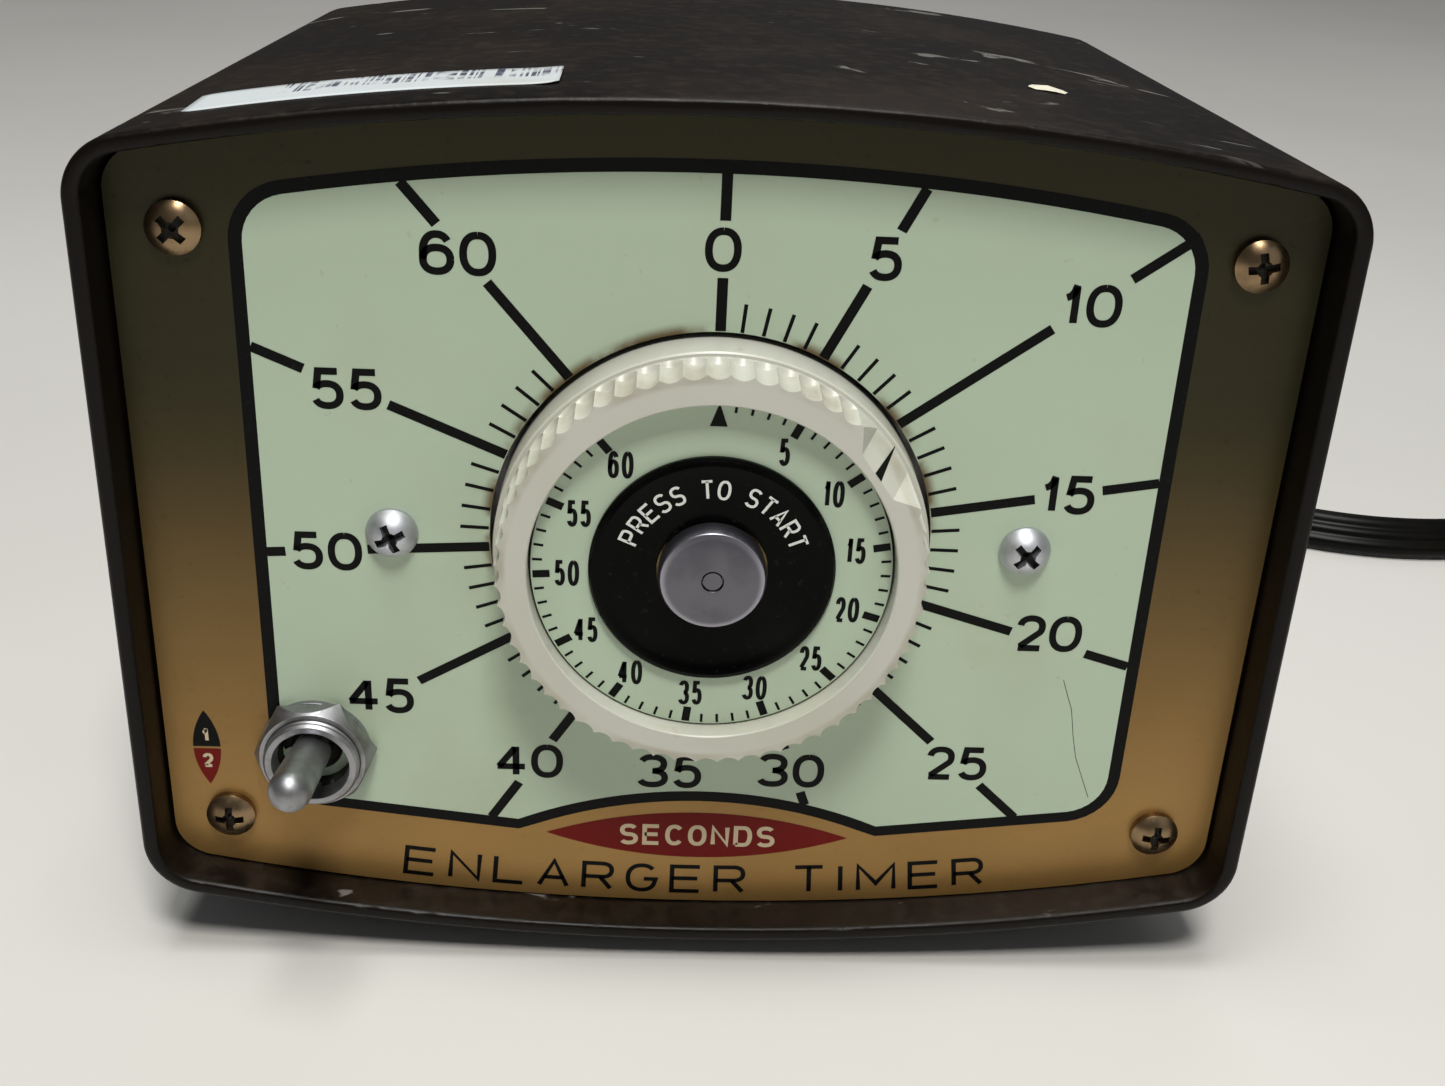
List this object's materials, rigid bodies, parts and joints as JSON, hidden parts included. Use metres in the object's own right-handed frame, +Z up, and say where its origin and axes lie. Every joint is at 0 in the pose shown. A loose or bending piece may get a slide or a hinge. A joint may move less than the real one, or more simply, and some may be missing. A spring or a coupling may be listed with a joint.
{
  "type": "enlarger timer",
  "caption": "Darkroom enlarger timer: moulded case, printed seconds scale, fluted setting ring, elapsed-time dial, start button, toggle switch and rear outlets.",
  "frame": {"origin": "middle of the timer's footprint on the surface it stands on, the lead and its plug left aside", "axes": "+X to the right of someone facing the dial, +Y from the dial to the outlets at the back, +Z up"},
  "size_m": [0.3464, 0.1896, 0.1138],
  "materials": {
    "case_plastic": "moulded, semi-matte dark brown, scuffed",
    "panel": "gold-bronze satin sheet, printed with a mint dial face in a black border",
    "bronze_screw": "antiqued bronze plate",
    "zinc_screw": "dull zinc plate",
    "steel": "plated steel",
    "foot_rubber": "black moulded rubber",
    "ring_plastic": "ivory white moulded, satin",
    "brass": "machined",
    "dial_paint": "mint green with black marks",
    "cap_plastic": "black moulded, glossy",
    "aluminium": "turned",
    "phenolic": "dark moulded phenolic",
    "nylon": "natural nylon",
    "spring_steel": "blued spring strip",
    "outlet_plastic": "dark brown moulded",
    "contact_brass": "stamped",
    "cord_plastic": "black flexible jacket",
    "chrome": "bright plate, worn"
  },
  "bodies": {
    "case": {"case_shell": "case_plastic", "front_panel": "panel", "corner_screws": "bronze_screw", "movement_screws": "zinc_screw", "panel_spacers": "steel", "movement_nuts": "steel", "rubber_feet": "foot_rubber", "foot_screws": "steel", "front_bushing": "brass", "ring_clip": "spring_steel", "friction_washer": "spring_steel", "front_plate": "steel", "rear_plate": "steel", "plate_pillars": "steel", "pillar_screws": "steel", "rear_bushing": "brass", "reset_spring": "spring_steel", "reset_spring_cup": "brass", "motor_gearbox": "steel", "motor_can": "steel", "motor_screws": "steel", "trip_pin": "steel", "switch_bracket": "steel", "snap_switch": "phenolic", "snap_switch_screws": "steel", "snap_switch_terminals": "contact_brass", "toggle_body": "phenolic", "toggle_bushing": "chrome", "toggle_washers": "chrome", "toggle_nut": "chrome", "toggle_terminals": "contact_brass", "enlarger_outlet": "outlet_plastic", "safelight_outlet": "outlet_plastic", "outlet_contacts": "contact_brass", "strain_relief": "cord_plastic", "power_cord": "cord_plastic", "power_cord_coil": "cord_plastic", "plug_body": "cord_plastic", "plug_pins": "contact_brass"},
    "set_ring": {"set_ring": "ring_plastic"},
    "dial": {"elapsed_dial": "dial_paint", "dial_hub": "brass", "centre_cap": "cap_plastic", "dial_arbor": "steel", "drive_wheel": "brass"},
    "second_shaft": {"second_wheel": "brass", "second_pinion": "steel", "second_arbor": "steel"},
    "motor_output": {"motor_pinion": "steel", "motor_shaft": "steel"},
    "start_button": {"start_button": "aluminium", "push_rod": "aluminium"},
    "trip_lever": {"trip_lever": "steel"},
    "snap_plunger": {"snap_plunger": "nylon"},
    "toggle": {"toggle_lever": "chrome"}
  },
  "joints": [
    {"name": "set_ring_turn", "type": "hinge", "parent": "case", "child": "set_ring", "pos_m": [0, -0.0378, 0.06], "axis": [0, 1, 0], "range_deg": [-53.33, 266.67]},
    {"name": "dial_turn", "type": "hinge", "parent": "case", "child": "dial", "pos_m": [0, -0.0378, 0.06], "axis": [0, 1, 0], "range_deg": [0, 320], "stiffness_Nm_per_rad": 0.002, "springref_deg": -28.65},
    {"name": "second_shaft_turn", "type": "hinge", "parent": "case", "child": "second_shaft", "pos_m": [0.01896, -0.0178, 0.05666], "axis": [0, 1, 0], "range_deg": [-961, 1]},
    {"name": "motor_output_turn", "type": "hinge", "parent": "case", "child": "motor_output", "pos_m": [0.00658, -0.0128, 0.04191], "axis": [0, 1, 0], "range_deg": [-1, 2881]},
    {"name": "start_press", "type": "slide", "parent": "case", "child": "start_button", "axis": [0, 1, 0], "range_m": [0, 0.002], "stiffness_N_per_m": 600, "springref_m": -0.001},
    {"name": "trip_lever_tilt", "type": "hinge", "parent": "case", "child": "trip_lever", "pos_m": [0, 0.0047, 0.076], "axis": [1, 0, 0], "range_deg": [0, 6.65]},
    {"name": "snap_plunger_press", "type": "slide", "parent": "case", "child": "snap_plunger", "axis": [0, -1, 0], "range_m": [0, 0.0012]},
    {"name": "toggle_tilt", "type": "hinge", "parent": "case", "child": "toggle", "pos_m": [-0.04885, -0.035, 0.02925], "axis": [1, 0, 0], "range_deg": [0, 25]}
  ],
  "couplings": [
    {"joint": "second_shaft_turn", "follows": "dial_turn", "ratio": -3},
    {"joint": "motor_output_turn", "follows": "dial_turn", "ratio": 9},
    {"joint": "trip_lever_tilt", "follows": "start_press", "rad_per_m": 58},
    {"joint": "snap_plunger_press", "follows": "start_press", "ratio": 0.6}
  ]
}
